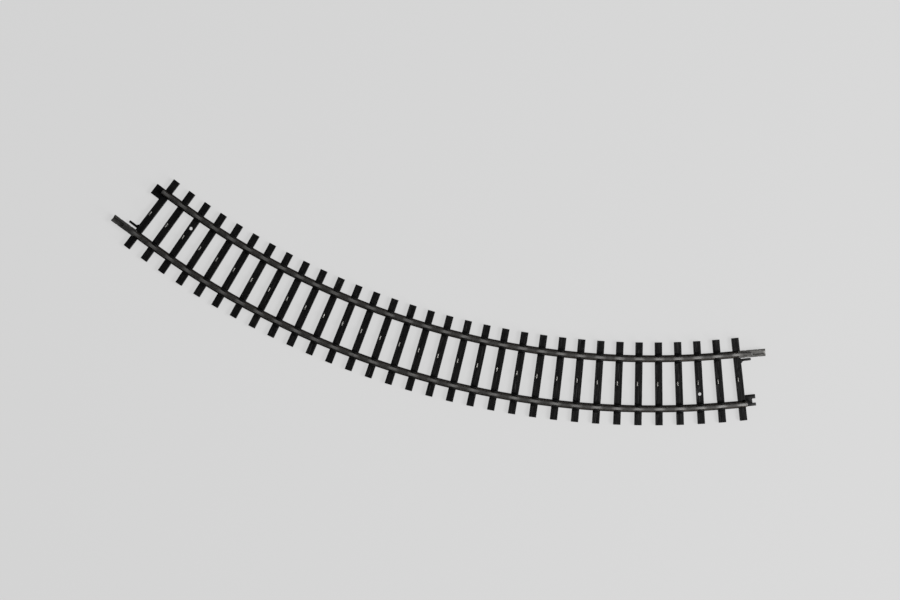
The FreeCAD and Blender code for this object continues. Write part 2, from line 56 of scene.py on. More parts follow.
# Curved three-conductor H0 track section. Sizes are in millimetres, as in the design;
# MM turns them into metres. A third number in a corner of an outline is its radius.
MM = 0.001
RADIUS = 295.4
SLEEPERS = 32
PITCH = math.radians(45 / SLEEPERS)
LAST = SLEEPERS - 1
MIDDLE = LAST / 2
END_ANGLE = (MIDDLE - 1) * PITCH
SLEEPER_LENGTH = 29.8
SLEEPER_WIDTH = 2.65
SLEEPER_TOP = 2.2
RAIL_OFFSET = 9.0
RAIL_SEAT = 2.4
RAIL_HEIGHT = 2.5
FOOT_HALF = 0.95
FOOT_SHEET = 0.4
HEAD_HALF = 0.6
WEB_HALF = 0.25
BEAM_WIDTH = 2.6
RECESS_FLOOR = 2.0
RECESS_WIDTH = 2.9
RECESS_START = 4.6
MALE_RAIL_END = 5.35
FEMALE_RAIL_END = 1.85
GROOVE_DEPTH = 0.8
GROOVE_MARGIN = 0.1
SPINE_WIDTH = 1.2
STRIP_LOW = 0.4
STRIP_SHEET = 0.3
ARM_WIDTH = 1.3
STUD_SHIFT = 0.55
STUD_SHEET = 0.3
STUD_LENGTH = 2.0
STUD_TOP = 3.4
STUD_SHOULDER = 0.35
HOLE_OFFSET = 4.15
HOLE_SLEEPER = 2
HOLE_RADIUS = 0.6
JOINER_START = 0.45
JOINER_LENGTH = 9.8
JOINER_SHEET = 0.32
JOINER_GAP = 0.05
JOINER_LIP = 0.5
BLOCK_END = 5.0
BLOCK_NEAR = 5.9
BLOCK_FAR = 10.0
POCKET_NEAR = 6.2
POCKET_FAR = 8.95
POCKET_ROOF = 1.6
NOTCH_START = 3.8
NOTCH_NEAR = 7.4
TONGUE_NEAR = 6.35
TONGUE_WIDTH = 0.9
TONGUE_ROOT = 0.75
TONGUE_END = 4.9
TONGUE_LOW = 1.0
TONGUE_TOP = 1.55
TAB_END = 1.45
RIGHT = 1
LEFT = -1
SIDE_NAMES = {RIGHT: "right", LEFT: "left"}

holes = next(m for m in frame["record"]["mounts"] if m["name"] == "screw_holes")
HOLE_ANGLE = (MIDDLE - HOLE_SLEEPER) * PITCH
CENTRE = Vector((
    holes["pos_m"][0] / MM - HOLE_OFFSET * math.sin(HOLE_ANGLE),
    holes["pos_m"][1] / MM + RADIUS * math.cos(HOLE_ANGLE),
    0))


# ---------------------------------------------------------------- places

def sleeper_frame(index):
    """At a sleeper's centre: X along the track to the right, Y towards the curve's centre."""
    angle = (index - MIDDLE) * PITCH
    turn = Matrix.Rotation(angle, 4, "Z")
    return Matrix.Translation(CENTRE) @ turn @ Matrix.Translation((0, -RADIUS, 0))


def end_frame(side, inward=0):
    """At an end sleeper, or some sleepers further in: X outward, Y towards the male rail."""
    place = sleeper_frame(LAST - inward if side == RIGHT else inward)
    return place if side == RIGHT else place @ Matrix.Rotation(math.pi, 4, "Z")


def end_sleeper(side, across):
    """From the second sleeper to the end one, measured at a distance across."""
    return (RADIUS - side * across) * math.sin(PITCH)


def ring_frames(offset, first, last, steps):
    """Frames round the curve at a radius: X along the track, Y inward."""
    frames = []
    for k in range(steps + 1):
        angle = first + (last - first) * k / steps
        turn = Matrix.Rotation(angle, 4, "Z")
        frames.append(Matrix.Translation(CENTRE) @ turn @ Matrix.Translation((0, -RADIUS + offset, 0)))
    return frames


def track_frames(offset, left_reach, right_reach, steps):
    """Frames along a whole rail: straight end, curve, straight end."""
    quarters = (0.25, 0.5, 0.75, 1)
    curve = ring_frames(offset, -END_ANGLE, END_ANGLE, steps)
    left = [curve[0] @ Matrix.Translation((-left_reach * part, 0, 0)) for part in reversed(quarters)]
    right = [curve[-1] @ Matrix.Translation((right_reach * part, 0, 0)) for part in quarters]
    return left + curve + right


# ---------------------------------------------------------------- meshes

class Shell:
    """Vertices and faces that become one mesh."""

    def __init__(self):
        self.points = []
        self.faces = []

    def sweep(self, rings):
        """A closed solid through rings of equal length, capped at both ends."""
        start = len(self.points)
        size = len(rings[0])
        for ring in rings:
            self.points.extend(ring)
        for k in range(len(rings) - 1):
            low = start + k * size
            for n in range(size):
                following = (n + 1) % size
                self.faces.append((low + n, low + following, low + size + following, low + size + n))
        self.faces.append(tuple(start + n for n in reversed(range(size))))
        last = start + (len(rings) - 1) * size
        self.faces.append(tuple(last + n for n in range(size)))

    def add_mesh(self, mesh, matrix):
        """Everything in a finished mesh."""
        start = len(self.points)
        self.points.extend(matrix @ vertex.co for vertex in mesh.vertices)
        self.faces.extend(tuple(start + n for n in face.vertices) for face in mesh.polygons)

    def mesh(self, name):
        """The collected faces, turned into metres."""
        data = bpy.data.meshes.new(name)
        data.from_pydata([point * MM for point in self.points], [], self.faces)
        data.validate()
        data.update()
        return data


def recalculate(mesh):
    """Merge coincident points and turn every face outward."""
    work = bmesh.new()
    work.from_mesh(mesh)
    bmesh.ops.remove_doubles(work, verts=work.verts, dist=1e-8)
    bmesh.ops.dissolve_degenerate(work, edges=work.edges, dist=1e-8)
    bmesh.ops.recalc_face_normals(work, faces=work.faces)
    work.to_mesh(mesh)
    work.free()


def make_piece(name, shell, body, material, node, smooth_angle):
    """One visible piece that rides on a body and stands for a node of the design."""
    mesh = shell.mesh(name)
    recalculate(mesh)
    piece = bpy.data.objects.new(name, mesh)
    bpy.context.scene.collection.objects.link(piece)
    mesh.materials.append(material)
    mesh.shade_smooth()
    mesh.set_sharp_from_angle(angle=math.radians(smooth_angle))
    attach(piece, body)
    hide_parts(node)


def rounded(corners, radius, steps):
    """An outline with every corner rounded; a corner may carry its own radius."""
    outline = []
    count = len(corners)
    for k, corner in enumerate(corners):
        here = Vector(corner[:2])
        before = Vector(corners[k - 1][:2]) - here
        after = Vector(corners[(k + 1) % count][:2]) - here
        own = corner[2] if len(corner) > 2 else radius
        half_turn = before.angle(after) / 2
        cut = min(own / math.tan(half_turn), before.length * 0.45, after.length * 0.45)
        own = cut * math.tan(half_turn)
        middle = (before.normalized() + after.normalized()).normalized()
        centre = here + middle * (own / math.sin(half_turn))
        start = here + before.normalized() * cut - centre
        finish = here + after.normalized() * cut - centre
        swing = start.angle_signed(finish)
        for n in range(steps + 1):
            part = start.copy()
            part.rotate(Matrix.Rotation(-swing * n / steps, 2))
            outline.append(centre + part)
    return outline


def mirrored(half):
    """A whole outline from its right half."""
    return half + [(-across, height, radius) for across, height, radius in reversed(half)]


def across_ring(outline, place):
    """An outline (across, height) standing square to the track at a frame."""
    return [place @ Vector((0, point[0], point[1])) for point in outline]


def shrunk(outline, amount):
    """The outline pulled in by an amount along its own normals."""
    count = len(outline)
    pulled = []
    for k, point in enumerate(outline):
        ahead = Vector(outline[(k + 1) % count]) - Vector(outline[k - 1])
        normal = Vector((-ahead.y, ahead.x))
        if normal.length > 0:
            normal.normalize()
        pulled.append(Vector(point) + normal * amount)
    return pulled


def add_prism(shell, outline, place, low, high, edge):
    """A plan outline raised from low to high, with softened upper and lower edges."""
    profile = (
        (low, edge), (low + edge, 0), (high - edge, 0), (high - edge * 0.3, edge * 0.3), (high, edge))
    shell.sweep([
        [place @ Vector((x, y, height)) for x, y in shrunk(outline, inset)]
        for height, inset in profile])


def rectangle(x_low, x_high, y_low, y_high):
    """Corners of a plan rectangle."""
    return [(x_low, y_low), (x_high, y_low), (x_high, y_high), (x_low, y_high)]


# ---------------------------------------------------------------- sleeper bed

GRAIN_DEPTH = 0.1
DEEPEST_CRACK = 1.6  # times GRAIN_DEPTH
SLEEPER_ROUND = 0.12
RING_STEP = 0.3
TRENCH_FLOOR = 1.0
STEP_HALF = 0.004  # half the length over which the mesh makes a sharp step


def grain(index, across, along):
    """Height lost to moulded wood grain: broad waves, fine lines and some cracks along the sleeper."""
    seed = index * 7.31
    warp = noise.noise(Vector((along * 0.25, across * 0.12, seed))) * 0.5
    fine = noise.noise(Vector((along * 3.4 + warp, across * 0.22, seed + 3)))
    broad = noise.noise(Vector((along * 1.1, across * 0.10, seed + 9)))
    crack = 1 - min(1, abs(noise.noise(Vector((along * 1.5 + warp * 2, across * 0.07, seed + 17)))) * 9)
    depth = 0.32 + 0.34 * fine + 0.2 * broad + 0.75 * crack * max(0, broad + 0.35)
    return GRAIN_DEPTH * min(DEEPEST_CRACK, max(0.0, depth))


def ring_places(stops):
    """Distances across the track, with a close pair at every stop."""
    half = SLEEPER_LENGTH / 2
    places = [-half, -half + 0.05, -half + SLEEPER_ROUND]
    place = -half + RING_STEP
    while place < half - RING_STEP / 2:
        places.append(place)
        place += RING_STEP
    places += [half - SLEEPER_ROUND, half - 0.05, half]
    for stop in stops:
        places = [place for place in places if abs(place - stop) > 0.06]
        places += [stop - STEP_HALF, stop + STEP_HALF]
    return sorted(places)


def arm_reach(index):
    """How far the contact strip's arm lies under a sleeper, outward and inward."""
    both = index in (0, LAST)
    low = -RAIL_OFFSET if index < SLEEPERS // 2 or both else -STUD_LENGTH / 2
    high = RAIL_OFFSET if index >= SLEEPERS // 2 - 1 or both else STUD_LENGTH / 2
    return low, high


def sleeper_outline(index, across, at_end):
    """Cross-section of a sleeper: (along the track, height)."""
    half = SLEEPER_WIDTH / 2
    room = SLEEPER_LENGTH / 2 - abs(across)
    inset = 0.0
    if room < SLEEPER_ROUND:
        inset = SLEEPER_ROUND - math.sqrt(max(0, SLEEPER_ROUND ** 2 - (SLEEPER_ROUND - room) ** 2))
    wall = half - inset * 0.7
    top = SLEEPER_TOP - inset * 0.7
    groove_low = -STUD_SHIFT - STUD_SHEET - GROOVE_MARGIN
    groove_high = groove_low + ARM_WIDTH + 2 * GROOVE_MARGIN
    low, high = arm_reach(index)
    groove = GROOVE_DEPTH if low - GROOVE_MARGIN < across < high + GROOVE_MARGIN else 0.0
    under = [
        (-wall, 0), (groove_low, 0), (groove_low, groove), (groove_high, groove), (groove_high, 0), (wall, 0)]
    side = [(wall, top * part) for part in (0.3, 0.6, 0.85)]
    slot_low = groove_low
    slot_high = slot_low + 2 * STUD_SHEET + 2 * GROOVE_MARGIN
    stud_half = STUD_LENGTH / 2 + GROOVE_MARGIN
    spread = [
        1.28, 1.2, 1.05, 0.85, 0.62, 0.4, 0.2, 0.03, slot_high + STEP_HALF, slot_high - STEP_HALF,
        -0.4, -0.7, slot_low + STEP_HALF, slot_low - STEP_HALF, -1.06, -1.2, -1.28]
    upper = []
    for along in spread:
        along = max(-wall + 0.02, min(wall - 0.02, along))
        shoulder = max(0.0, abs(along) - (half - SLEEPER_ROUND))
        drop = SLEEPER_ROUND - math.sqrt(max(0.0, SLEEPER_ROUND ** 2 - shoulder ** 2))
        height = top - drop - grain(index, across, along)
        if slot_low <= along <= slot_high and abs(across) < stud_half:
            height = TRENCH_FLOOR
        elif at_end and abs(abs(across) - RAIL_OFFSET) < RECESS_WIDTH / 2:
            height = min(height, RECESS_FLOOR)
        upper.append((along, height))
    ridge = [0.03 * noise.noise(Vector((across * 0.8, part, index * 3.7))) - 0.02 for part in (1, 2, 3)]
    right = [(x + shift, z) for (x, z), shift in zip(side, ridge)]
    left = [(-x - shift, z) for (x, z), shift in zip(reversed(side), ridge)]
    return under + right + upper + left


def sleeper_rings(index):
    """Every cross-section of a sleeper, from one end to the other."""
    at_end = index in (0, LAST)
    stud_half = STUD_LENGTH / 2 + GROOVE_MARGIN
    groove_end = RAIL_OFFSET + GROOVE_MARGIN
    stops = [-groove_end, groove_end, -stud_half, stud_half]
    if at_end:
        for centre in (-RAIL_OFFSET, RAIL_OFFSET):
            stops += [centre - RECESS_WIDTH / 2, centre + RECESS_WIDTH / 2]
    place = sleeper_frame(index)
    rings = []
    for across in ring_places(stops):
        outline = sleeper_outline(index, across, at_end)
        rings.append([place @ Vector((x, across, z)) for x, z in outline])
    return rings


def turned_rings(place, across, profile, steps):
    """Rings round an upright axis; profile is (height, radius)."""
    circle = [(math.cos(2 * math.pi * n / steps), math.sin(2 * math.pi * n / steps)) for n in range(steps)]
    return [
        [place @ Vector((radius * x, across + radius * y, height)) for x, y in circle]
        for height, radius in profile]


def temporary_object(name, rings):
    """An object that is only there to be cut or to cut."""
    shell = Shell()
    shell.sweep(rings)
    mesh = shell.mesh(name)
    recalculate(mesh)
    item = bpy.data.objects.new(name, mesh)
    bpy.context.scene.collection.objects.link(item)
    return item


def add_drilled_sleeper(shell, index, across):
    """A sleeper with a screw hole, flared at the top, cut through it."""
    profile = (
        (-1, HOLE_RADIUS), (SLEEPER_TOP - 0.22, HOLE_RADIUS), (SLEEPER_TOP + 0.2, HOLE_RADIUS + 0.3))
    piece = temporary_object("drilled", sleeper_rings(index))
    cutter = temporary_object("drill", turned_rings(sleeper_frame(index), across, profile, 40))
    cut = piece.modifiers.new("hole", "BOOLEAN")
    cut.operation = "DIFFERENCE"
    cut.solver = "EXACT"
    cut.object = cutter
    graph = bpy.context.evaluated_depsgraph_get()
    result = bpy.data.meshes.new_from_object(piece.evaluated_get(graph))
    shell.add_mesh(result, Matrix.Scale(1 / MM, 4))
    for item in (piece, cutter):
        bpy.data.objects.remove(item)


CHAIR_HALF = 0.95  # along the track
BOLT_ACROSS = 1.78
BOLT_ALONG = 0.5
BOLT_RADIUS = 0.19
BOLT_HEIGHT = 0.2


def chair_outline():
    """A tie plate with a hook on each side of the rail foot."""
    plate_half = 2.0
    plate_low = 2.05
    hook_foot = 1.6
    hook_tip = 0.6
    hook_top = 3.05
    clear_side = FOOT_HALF + 0.02
    clear_top = RAIL_SEAT + FOOT_SHEET + 0.02
    return rounded(mirrored([
        (plate_half, plate_low, 0.02), (plate_half, RAIL_SEAT, 0.06), (hook_foot, RAIL_SEAT, 0.05),
        (hook_foot - 0.05, RAIL_SEAT + 0.2, 0.1), (hook_foot - 0.45, hook_top, 0.1),
        (hook_tip, hook_top, 0.07), (hook_tip, clear_top, 0.03), (clear_side, clear_top, 0.02),
        (clear_side, RAIL_SEAT, 0.02)]), 0.05, 2)


def add_chair(shell, place):
    """A chair with softened ends."""
    outline = chair_outline()
    ends = ((CHAIR_HALF, 0.05), (CHAIR_HALF - 0.03, 0.015), (CHAIR_HALF - 0.07, 0))
    profile = [(-along, inset) for along, inset in ends] + list(reversed(ends))
    shell.sweep([
        across_ring(shrunk(outline, inset), place @ Matrix.Translation((along, 0, 0)))
        for along, inset in profile])


def add_bolt(shell, place, across):
    """A moulded bolt head on a tie plate: a low six-sided dome."""
    dome = ((-0.05, 1.0), (0.55, 1.0), (0.85, 0.82), (1.0, 0.5))
    profile = [(RAIL_SEAT + BOLT_HEIGHT * rise, BOLT_RADIUS * size) for rise, size in dome]
    shell.sweep(turned_rings(place, across, profile, 6))


def add_chairs(shell):
    """A chair with four bolts under each rail, on all sleepers but the end ones."""
    for index in range(1, LAST):
        for offset in (-RAIL_OFFSET, RAIL_OFFSET):
            place = sleeper_frame(index) @ Matrix.Translation((0, offset, 0))
            add_chair(shell, place)
            for across in (-BOLT_ACROSS, BOLT_ACROSS):
                for along in (-BOLT_ALONG, BOLT_ALONG):
                    add_bolt(shell, place @ Matrix.Translation((along, 0, 0)), across)


RAIL_STEPS = 232  # pieces that a rail's curve is made of
BEAM_STEPS = 116
SPINE_STEPS = 60


def beam_outline(top):
    """A beam with the contact strip's groove underneath."""
    half = BEAM_WIDTH / 2
    slit = SPINE_WIDTH / 2 + GROOVE_MARGIN
    return rounded([
        (-half, 0), (-slit, 0), (-slit, GROOVE_DEPTH), (slit, GROOVE_DEPTH), (slit, 0), (half, 0),
        (half - 0.05, top, 0.1), (-half + 0.05, top, 0.1)], 0.05, 2)


def add_beams(shell):
    """A curved beam under each rail; at each end a straight one, lower where the joiner goes."""
    for offset in (-RAIL_OFFSET, RAIL_OFFSET):
        outline = beam_outline(RAIL_SEAT)
        places = ring_frames(offset, -END_ANGLE, END_ANGLE, BEAM_STEPS)
        shell.sweep([across_ring(outline, place) for place in places])
    for side in SIDE_NAMES:
        place = end_frame(side, 1)
        for offset in (-RAIL_OFFSET, RAIL_OFFSET):
            finish = end_sleeper(side, offset)
            recess = finish - RECESS_START
            for low, high, top in ((-0.4, recess, RAIL_SEAT), (recess - 0.3, finish, RECESS_FLOOR)):
                outline = beam_outline(top)
                shell.sweep([
                    across_ring(outline, place @ Matrix.Translation((along, offset, 0)))
                    for along in (low, high)])


def block_outline(mouth=None):
    """Plan of the pocket block; its mouth is given by how far back and how near it starts."""
    corners = [(0.2, -BLOCK_FAR, 0.02), (BLOCK_END, -BLOCK_FAR)]
    if mouth:
        back, near = mouth
        corners += [(BLOCK_END, -POCKET_FAR), (back, -POCKET_FAR), (back, -near), (BLOCK_END, -near)]
    corners += [(BLOCK_END, -BLOCK_NEAR), (0.2, -BLOCK_NEAR, 0.02)]
    return rounded(corners, 0.1, 3)


def add_end_fittings(shell, side):
    """Pocket block on one side of the track, tongue on the other; only the right roof is notched."""
    place = end_frame(side)
    face = SLEEPER_WIDTH / 2
    overlap = 0.06
    cavity = (face - 0.15, POCKET_NEAR)
    notch = (NOTCH_START, NOTCH_NEAR) if side == RIGHT else None
    add_prism(shell, block_outline(cavity), place, 0, POCKET_ROOF + overlap, 0.05)
    add_prism(shell, block_outline(notch), place, POCKET_ROOF, RECESS_FLOOR, 0.05)
    far = TONGUE_NEAR + TONGUE_WIDTH
    outline = rounded([
        (0.4, TONGUE_NEAR - TONGUE_ROOT, 0.02), (face, TONGUE_NEAR - TONGUE_ROOT, 0.02),
        (face + TONGUE_ROOT, TONGUE_NEAR, 0.6), (TONGUE_END, TONGUE_NEAR, 0.25), (TONGUE_END, far, 0.25),
        (0.4, far, 0.02)], 0.1, 4)
    add_prism(shell, outline, place, TONGUE_LOW, TONGUE_TOP, 0.08)


def make_bed(material):
    """The black moulding that holds everything else."""
    shell = Shell()
    drilled = {HOLE_SLEEPER: HOLE_OFFSET, LAST - HOLE_SLEEPER: -HOLE_OFFSET}
    for index in range(SLEEPERS):
        if index in drilled:
            add_drilled_sleeper(shell, index, drilled[index])
        else:
            shell.sweep(sleeper_rings(index))
    add_chairs(shell)
    add_beams(shell)
    for side in SIDE_NAMES:
        add_end_fittings(shell, side)
    make_piece("moulded_sleeper_bed", shell, "track", material, "sleeper_bed", 35)


# ---------------------------------------------------------------- metal pieces

def rail_outline():
    """Rail section with a rounded head."""
    seat = RAIL_SEAT
    return rounded(mirrored([
        (FOOT_HALF, seat, 0.05), (FOOT_HALF, seat + FOOT_SHEET, 0.1),
        (WEB_HALF + 0.07, seat + FOOT_SHEET + 0.02, 0.12), (WEB_HALF, seat + FOOT_SHEET + 0.2, 0.2),
        (WEB_HALF, seat + 1.5, 0.15), (HEAD_HALF, seat + 1.72, 0.08),
        (HEAD_HALF, seat + RAIL_HEIGHT, 0.22)]), 0.05, 4)


def make_rail(name, offset, male_side, material):
    """A rail, long on one side of the track and short on the other, with softened ends."""
    reach = {
        male_side: end_sleeper(male_side, RAIL_OFFSET) + MALE_RAIL_END,
        -male_side: end_sleeper(-male_side, -RAIL_OFFSET) + FEMALE_RAIL_END,
    }
    outline = rail_outline()
    frames = track_frames(offset, reach[LEFT], reach[RIGHT], RAIL_STEPS)
    worn = shrunk(outline, 0.05)
    steps = (0.06, 0.12, 0.3)
    rings = [across_ring(worn, frames[0])]
    rings += [across_ring(outline, frames[0] @ Matrix.Translation((step, 0, 0))) for step in steps]
    rings += [across_ring(outline, place) for place in frames[1:-1]]
    rings += [
        across_ring(outline, frames[-1] @ Matrix.Translation((-step, 0, 0))) for step in reversed(steps)]
    rings.append(across_ring(worn, frames[-1]))
    shell = Shell()
    shell.sweep(rings)
    make_piece(name + "_profile", shell, "track", material, name, 50)


def joiner_outline(lead):
    """Folded sheet; lead opens the inside towards a mouth."""
    sheet = JOINER_SHEET - lead
    inner = FOOT_HALF + JOINER_GAP + lead
    low = RAIL_SEAT - JOINER_GAP - lead
    high = RAIL_SEAT + FOOT_SHEET + JOINER_GAP + lead
    outer = inner + sheet
    return rounded(mirrored([
        (outer, low - sheet, 0.24), (outer, high + sheet, 0.24), (JOINER_LIP, high + sheet, 0.04),
        (JOINER_LIP, high, 0.04), (inner, high, 0.08), (inner, low, 0.08)]), 0.05, 5)


PINCH_PLACES = (0.27, 0.73)  # shares of a joiner's length
PINCH_REACH = 0.45
PINCH_DEPTH = 0.09
MOUTH_REACH = 0.45
MOUTH_LEAD = 0.14


def pinch_depth(along):
    """How far a joiner's sides are pinched in, at a distance from its inner end."""
    depth = 0.0
    for share in PINCH_PLACES:
        gap = (along - JOINER_LENGTH * share) / PINCH_REACH
        if abs(gap) < 1:
            depth = PINCH_DEPTH * (1 + math.cos(math.pi * gap)) / 2
    return depth


def make_joiner(side, material):
    """A folded joiner on the long end of a rail."""
    name = SIDE_NAMES[side]
    start = end_sleeper(side, RAIL_OFFSET) + JOINER_START
    place = end_frame(side, 1) @ Matrix.Translation((start, RAIL_OFFSET, 0))
    shell = Shell()
    rings = []
    mouth = (0, 0.05, 0.15, 0.4)
    middle = [mouth[-1] + 0.15 * k for k in range(1, 60)]
    for along in [*mouth, *middle, *(JOINER_LENGTH - step for step in reversed(mouth))]:
        edge = min(along, JOINER_LENGTH - along)
        outline = joiner_outline(MOUTH_LEAD * max(0.0, 1 - edge / MOUTH_REACH))
        if edge == 0:
            outline = shrunk(outline, 0.02)
        ring = []
        for across, height in outline:
            if abs(across) > 1.0:
                across -= math.copysign(pinch_depth(along), across)
            ring.append(place @ Vector((along, across, height)))
        rings.append(ring)
    shell.sweep(rings)
    make_piece(
        name + "_folded_joiner", shell, name + "_joiner", material, name + "_rail_joiner", 50)


def stud_outline(drop):
    """Section of a tab folded double, with a rounded crown."""
    half = STUD_SHEET
    top = STUD_TOP - drop
    outline = [(half, STRIP_LOW)]
    for n in range(9):
        turn = math.pi * n / 8
        outline.append((half * math.cos(turn), top - half + half * math.sin(turn)))
    outline.append((-half, STRIP_LOW))
    return outline


def stud_rings(place):
    """A stud from end to end across the track, with worn corners."""
    rings = []
    corner = (0, 0.03, 0.1, 0.2, STUD_SHOULDER, 0.7)
    for part in [*corner, STUD_LENGTH / 2, *(STUD_LENGTH - step for step in reversed(corner))]:
        room = min(part, STUD_LENGTH - part)
        drop = STUD_SHOULDER - math.sqrt(max(0, STUD_SHOULDER ** 2 - max(0, STUD_SHOULDER - room) ** 2))
        outline = stud_outline(drop * 0.9)
        rings.append([place @ Vector((-STUD_SHIFT + x, part - STUD_LENGTH / 2, z)) for x, z in outline])
    return rings


def make_strip(material):
    """The contact strip: spines and arms underneath, a stud on every sleeper, a tab to each tongue."""
    shell = Shell()
    half_count = SLEEPERS // 2
    strip_top = STRIP_LOW + STRIP_SHEET
    spine = rounded(rectangle(-SPINE_WIDTH / 2, SPINE_WIDTH / 2, STRIP_LOW, strip_top), 0.05, 2)
    for offset, first, last in ((-RAIL_OFFSET, 0, half_count - 1), (RAIL_OFFSET, half_count - 1, LAST)):
        places = ring_frames(offset, (first - MIDDLE) * PITCH, (last - MIDDLE) * PITCH, SPINE_STEPS)
        shell.sweep([across_ring(spine, place) for place in places])
    arm_left = -STUD_SHIFT - STUD_SHEET
    for index in range(SLEEPERS):
        place = sleeper_frame(index)
        low, high = arm_reach(index)
        plan = rounded(rectangle(arm_left, arm_left + ARM_WIDTH, low, high), 0.1, 2)
        add_prism(shell, plan, place, STRIP_LOW, strip_top, 0.04)
        shell.sweep(stud_rings(place))
    for side in SIDE_NAMES:
        plan = rectangle(0, TAB_END, -(TONGUE_NEAR + TONGUE_WIDTH), -TONGUE_NEAR)
        add_prism(shell, rounded(plan, 0.05, 2), end_frame(side), STRIP_LOW, strip_top, 0.04)
    make_piece(
        "contact_strip_with_studs", shell, "track", material, "centre_contact_strip", 50)


# ---------------------------------------------------------------- materials

class Nodes:
    """A short way to write a node tree."""

    def __init__(self, name):
        self.material = bpy.data.materials.new(name)
        self.material.use_nodes = True
        self.tree = self.material.node_tree
        self.shader = self.tree.nodes["Principled BSDF"]
        self.place = self.tree.nodes.new("ShaderNodeTexCoord").outputs["Object"]

    def add(self, kind, **values):
        """A node with its settings and unlinked inputs."""
        node = self.tree.nodes.new("ShaderNode" + kind)
        for key, value in values.items():
            if hasattr(node, key):
                setattr(node, key, value)
            else:
                node.inputs[key].default_value = value
        return node

    def link(self, source, target):
        self.tree.links.new(source, target)

    def noise(self, scale, detail, stretch=(1, 1, 1)):
        """Noise; scale is in cycles for each metre."""
        mapping = self.add("Mapping")
        mapping.inputs["Scale"].default_value = stretch
        self.link(self.place, mapping.inputs["Vector"])
        node = self.add("TexNoise", Scale=scale, Detail=detail)
        self.link(mapping.outputs["Vector"], node.inputs["Vector"])
        return node.outputs["Fac"]

    def span(self, value, low, high, to_low=0.0, to_high=1.0):
        """A stretch of values mapped onto another, without going past its ends."""
        node = self.add("MapRange")
        self.link(value, node.inputs["Value"])
        for key, number in (("From Min", low), ("From Max", high), ("To Min", to_low), ("To Max", to_high)):
            node.inputs[key].default_value = number
        return node.outputs["Result"]

    def blend(self, factor, first, second):
        """Two colours mixed; 6, 7 and 2 are the colour sockets of a mix node."""
        node = self.add("Mix", data_type="RGBA")
        self.link(factor, node.inputs["Factor"])
        for key, colour in ((6, first), (7, second)):
            if isinstance(colour, tuple):
                node.inputs[key].default_value = (*colour, 1)
            else:
                self.link(colour, node.inputs[key])
        return node.outputs[2]

    def math(self, operation, first, second):
        """A sum on two numbers or sockets."""
        node = self.add("Math", operation=operation)
        for key, value in ((0, first), (1, second)):
            if isinstance(value, (int, float)):
                node.inputs[key].default_value = value
            else:
                self.link(value, node.inputs[key])
        return node.outputs[0]

    def over_sleepers(self):
        """1 above every sleeper and 0 midway between two, from the angle round the curve."""
        parts = self.add("SeparateXYZ")
        self.link(self.place, parts.inputs[0])
        along = self.math("SUBTRACT", parts.outputs["X"], CENTRE.x * MM)
        away = self.math("SUBTRACT", CENTRE.y * MM, parts.outputs["Y"])
        angle = self.math("ARCTAN2", along, away)
        phase = self.math("ADD", self.math("DIVIDE", angle, PITCH), MIDDLE)
        wave = self.math("COSINE", self.math("MULTIPLY", phase, 2 * math.pi), 0)
        return self.span(wave, -1, 1)

    def height(self):
        """Height above the surface that the track lies on, in metres."""
        node = self.add("SeparateXYZ")
        self.link(self.place, node.inputs[0])
        return node.outputs["Z"]

    def bump(self, value, strength, distance):
        """Fine relief, that many metres deep."""
        node = self.add("Bump", Strength=strength, Distance=distance)
        self.link(value, node.inputs["Height"])
        self.link(node.outputs["Normal"], self.shader.inputs["Normal"])


def plastic_material():
    """Black moulded plastic with a satin skin, fine grain and a little dust."""
    nodes = Nodes("black_moulded_plastic")
    mottle = nodes.noise(260, 5)
    speck = nodes.noise(2600, 6)
    fine = nodes.noise(9000, 3)
    dusty = nodes.span(mottle, 0.45, 0.75)
    base = nodes.blend(dusty, (0.0022, 0.0022, 0.0024), (0.006, 0.0058, 0.0055))
    worn = nodes.span(speck, 0.6, 0.78)
    nodes.link(nodes.blend(worn, base, (0.013, 0.0126, 0.012)), nodes.shader.inputs["Base Color"])
    nodes.link(nodes.span(speck, 0.3, 0.7, 0.34, 0.52), nodes.shader.inputs["Roughness"])
    nodes.shader.inputs["IOR"].default_value = 1.46
    nodes.shader.inputs["Specular IOR Level"].default_value = 0.13
    nodes.bump(nodes.math("ADD", speck, fine), 0.35, 0.00003)
    return nodes.material


def rail_material():
    """Browned steel: dark foot and web, running surface rubbed brighter, and a painted highlight on the head
    above every sleeper.
    """
    nodes = Nodes("browned_rail_steel")
    height = nodes.height()
    patch = nodes.noise(420, 5)
    streak = nodes.noise(5200, 4, (0.16, 1, 1))
    rust = nodes.noise(1500, 6)
    dark = nodes.blend(nodes.span(rust, 0.4, 0.7), (0.045, 0.041, 0.038), (0.085, 0.072, 0.06))
    dull = nodes.blend(patch, (0.06, 0.0585, 0.056), (0.1, 0.0975, 0.094))
    # Painted highlight: the rail head is made lighter above every sleeper; midway between sleepers it keeps
    # its own duller tone.
    painted_highlight = nodes.blend(patch, (0.16, 0.157, 0.152), (0.27, 0.266, 0.258))
    head = nodes.blend(nodes.span(nodes.over_sleepers(), 0.3, 0.95), dull, painted_highlight)
    top = (RAIL_SEAT + RAIL_HEIGHT) * MM
    rubbed = nodes.span(nodes.math("ADD", height, nodes.math("MULTIPLY", patch, 0.0003)),
                        top - 0.00022, top + 0.00012)
    nodes.link(nodes.blend(rubbed, dark, head), nodes.shader.inputs["Base Color"])
    nodes.shader.inputs["Metallic"].default_value = 1.0
    nodes.link(nodes.span(streak, 0.3, 0.75, 0.32, 0.48), nodes.shader.inputs["Roughness"])
    nodes.bump(nodes.math("ADD", streak, rust), 0.3, 0.00002)
    return nodes.material


